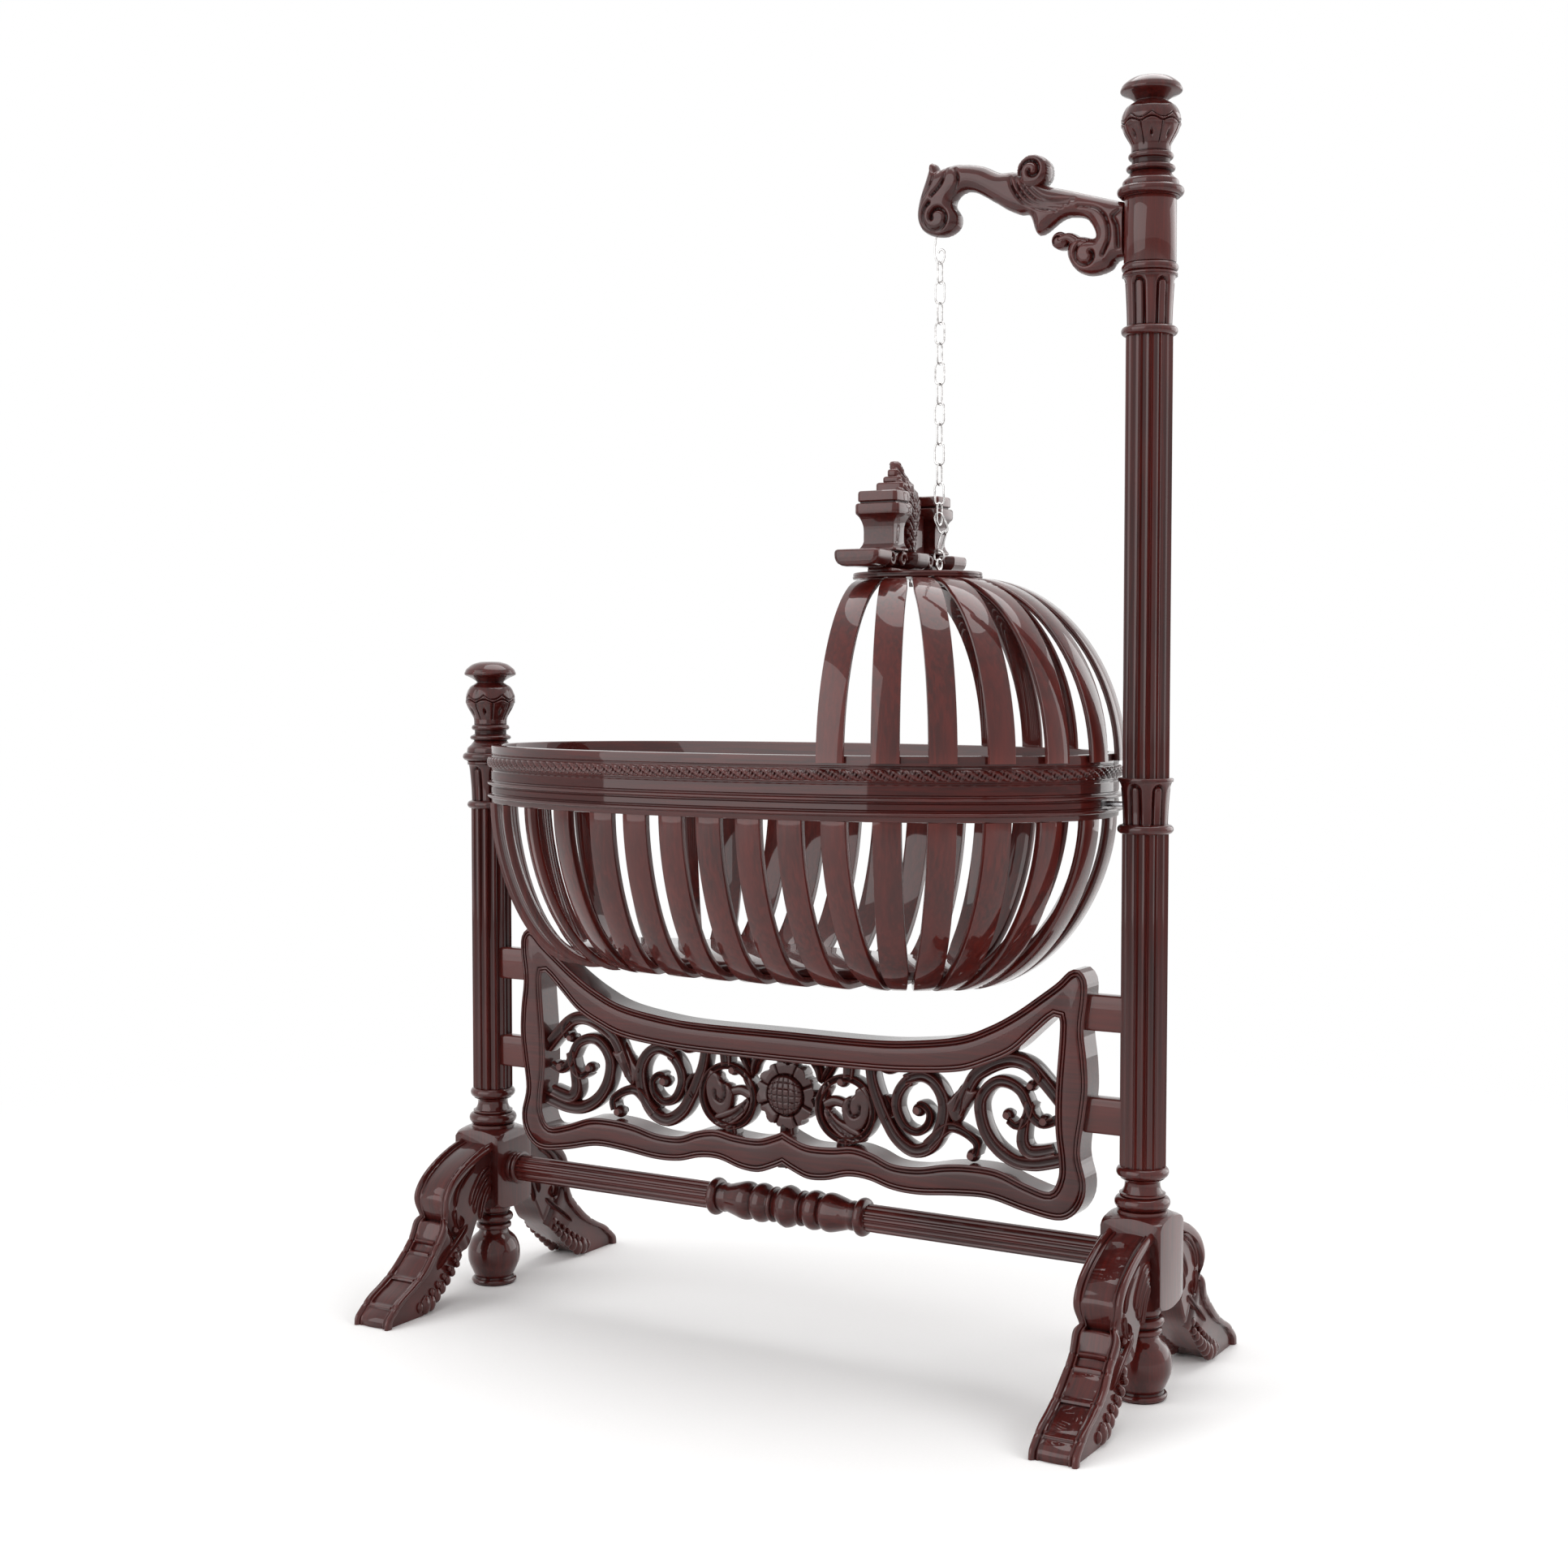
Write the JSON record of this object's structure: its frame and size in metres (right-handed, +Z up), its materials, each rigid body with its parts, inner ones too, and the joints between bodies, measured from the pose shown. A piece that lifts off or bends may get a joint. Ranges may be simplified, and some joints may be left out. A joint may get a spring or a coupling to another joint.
{
  "type": "swinging cradle on stand",
  "caption": "Carved swinging cradle with a slatted basket and hood, hung between a tall and a short turned post above a scrollwork panel, with a steadying chain.",
  "frame": {"origin": "on the floor, midway between the two posts", "axes": "+Z up; +X from the short post to the tall post, along the axis that the cradle swings about; +Y towards the back"},
  "size_m": [1.246, 0.62, 1.837],
  "materials": {
    "post_wood": "dark red-brown stain under clear gloss lacquer",
    "panel_wood": "dark red-brown stain under clear gloss lacquer",
    "carving_wood": "dark red-brown stain under clear gloss lacquer, darker in the carved hollows",
    "cradle_wood": "dark red-brown stain under clear gloss lacquer",
    "dowel_wood": "plain glued dowel, hidden in its joint",
    "chain_steel": "bright plated steel wire",
    "pivot_steel": "dark steel with a fine brushed grain"
  },
  "bodies": {
    "stand": {"tall_foot": "post_wood", "tall_block": "post_wood", "tall_front_leg": "post_wood", "tall_back_leg": "post_wood", "tall_neck": "post_wood", "tall_lower_shaft": "post_wood", "tall_mid_cup": "post_wood", "tall_upper_shaft": "post_wood", "tall_top_cup": "post_wood", "tall_sleeve": "post_wood", "tall_finial": "post_wood", "short_foot": "post_wood", "short_block": "post_wood", "short_front_leg": "post_wood", "short_back_leg": "post_wood", "short_neck": "post_wood", "short_shaft": "post_wood", "short_cup": "post_wood", "short_finial": "post_wood", "leg_dowels": "dowel_wood", "rail_tall_rod": "post_wood", "rail_middle": "post_wood", "rail_short_rod": "post_wood", "panel_frame": "panel_wood", "panel_tenons": "panel_wood", "tall_side_scrolls": "carving_wood", "short_side_scrolls": "carving_wood", "panel_rosette": "carving_wood", "carved_arm": "carving_wood", "arm_dowels": "dowel_wood", "arm_hook": "chain_steel", "head_pivot_bolt": "chain_steel", "foot_pivot_bolt": "chain_steel"},
    "cradle": {"rim_band": "cradle_wood", "rope_moulding": "cradle_wood", "rim_beads": "cradle_wood", "head_pivot_bush": "pivot_steel", "foot_pivot_bush": "pivot_steel", "head_pivot_plate": "pivot_steel", "foot_pivot_plate": "pivot_steel", "front_slats": "cradle_wood", "back_slats": "cradle_wood", "head_slats": "cradle_wood", "foot_slats": "cradle_wood", "bottom_board": "cradle_wood", "hood_slats": "cradle_wood", "hood_plate": "cradle_wood", "crown_base": "cradle_wood", "crown_pilasters": "cradle_wood", "crown_panel": "carving_wood", "crown_leaf": "carving_wood", "hood_hook": "chain_steel", "slack_links": "chain_steel"},
    "chain": {"chain_links": "chain_steel"}
  },
  "joints": [
    {"name": "cradle_swing", "type": "hinge", "parent": "stand", "child": "cradle", "pos_m": [0, 0, 0.837], "axis": [1, 0, 0], "range_deg": [-10, 10]},
    {"name": "chain_sway", "type": "hinge", "parent": "stand", "child": "chain", "pos_m": [0.2545, 0, 1.61055], "axis": [1, 0, 0], "range_deg": [-12, 12]}
  ],
  "couplings": [
    {"joint": "chain_sway", "follows": "cradle_swing", "ratio": -1.1647}
  ]
}
